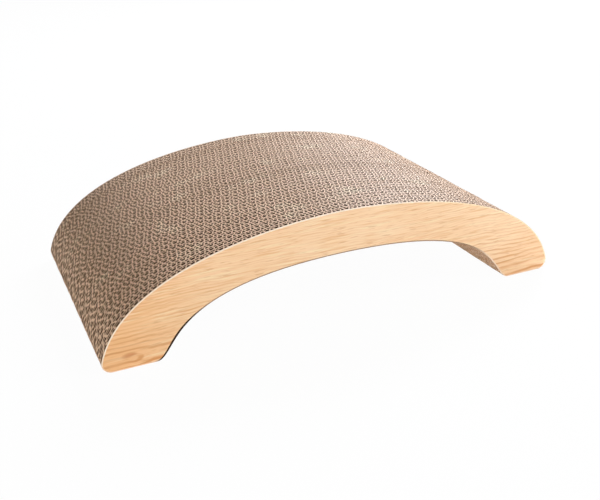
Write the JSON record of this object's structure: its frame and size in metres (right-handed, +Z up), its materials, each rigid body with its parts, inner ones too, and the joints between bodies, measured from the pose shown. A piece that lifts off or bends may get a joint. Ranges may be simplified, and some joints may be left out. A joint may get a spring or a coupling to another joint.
{
  "type": "cat scratcher",
  "caption": "Low arch of corrugated cardboard sheets glued face to face, with wood-grain paper on both sides; a cat scratches and lies on the open flutes on top.",
  "frame": {"origin": "on the floor, under the middle of the arch and half way through the stack of sheets", "axes": "+X along the arch to the right seen from the front, +Y from the front face to the back face, +Z up"},
  "size_m": [0.4236, 0.238, 0.0982],
  "materials": {
    "corrugated_board": "raw kraft, matte",
    "oak_print": "printed wood grain, satin",
    "glue": "dried white glue"
  },
  "bodies": {
    "root": {"front_oak_paper": "oak_print", "front_outer_board": "corrugated_board", "core_sheet_01": "corrugated_board", "core_sheet_02": "corrugated_board", "core_sheet_03": "corrugated_board", "core_sheet_04": "corrugated_board", "core_sheet_05": "corrugated_board", "core_sheet_06": "corrugated_board", "core_sheet_07": "corrugated_board", "core_sheet_08": "corrugated_board", "core_sheet_09": "corrugated_board", "core_sheet_10": "corrugated_board", "core_sheet_11": "corrugated_board", "core_sheet_12": "corrugated_board", "core_sheet_13": "corrugated_board", "core_sheet_14": "corrugated_board", "core_sheet_15": "corrugated_board", "core_sheet_16": "corrugated_board", "core_sheet_17": "corrugated_board", "core_sheet_18": "corrugated_board", "core_sheet_19": "corrugated_board", "core_sheet_20": "corrugated_board", "core_sheet_21": "corrugated_board", "core_sheet_22": "corrugated_board", "core_sheet_23": "corrugated_board", "core_sheet_24": "corrugated_board", "core_sheet_25": "corrugated_board", "core_sheet_26": "corrugated_board", "core_sheet_27": "corrugated_board", "core_sheet_28": "corrugated_board", "core_sheet_29": "corrugated_board", "core_sheet_30": "corrugated_board", "core_sheet_31": "corrugated_board", "core_sheet_32": "corrugated_board", "core_sheet_33": "corrugated_board", "core_sheet_34": "corrugated_board", "core_sheet_35": "corrugated_board", "back_outer_board": "corrugated_board", "back_oak_paper": "oak_print", "glue_films": "glue"}
  },
  "joints": []
}
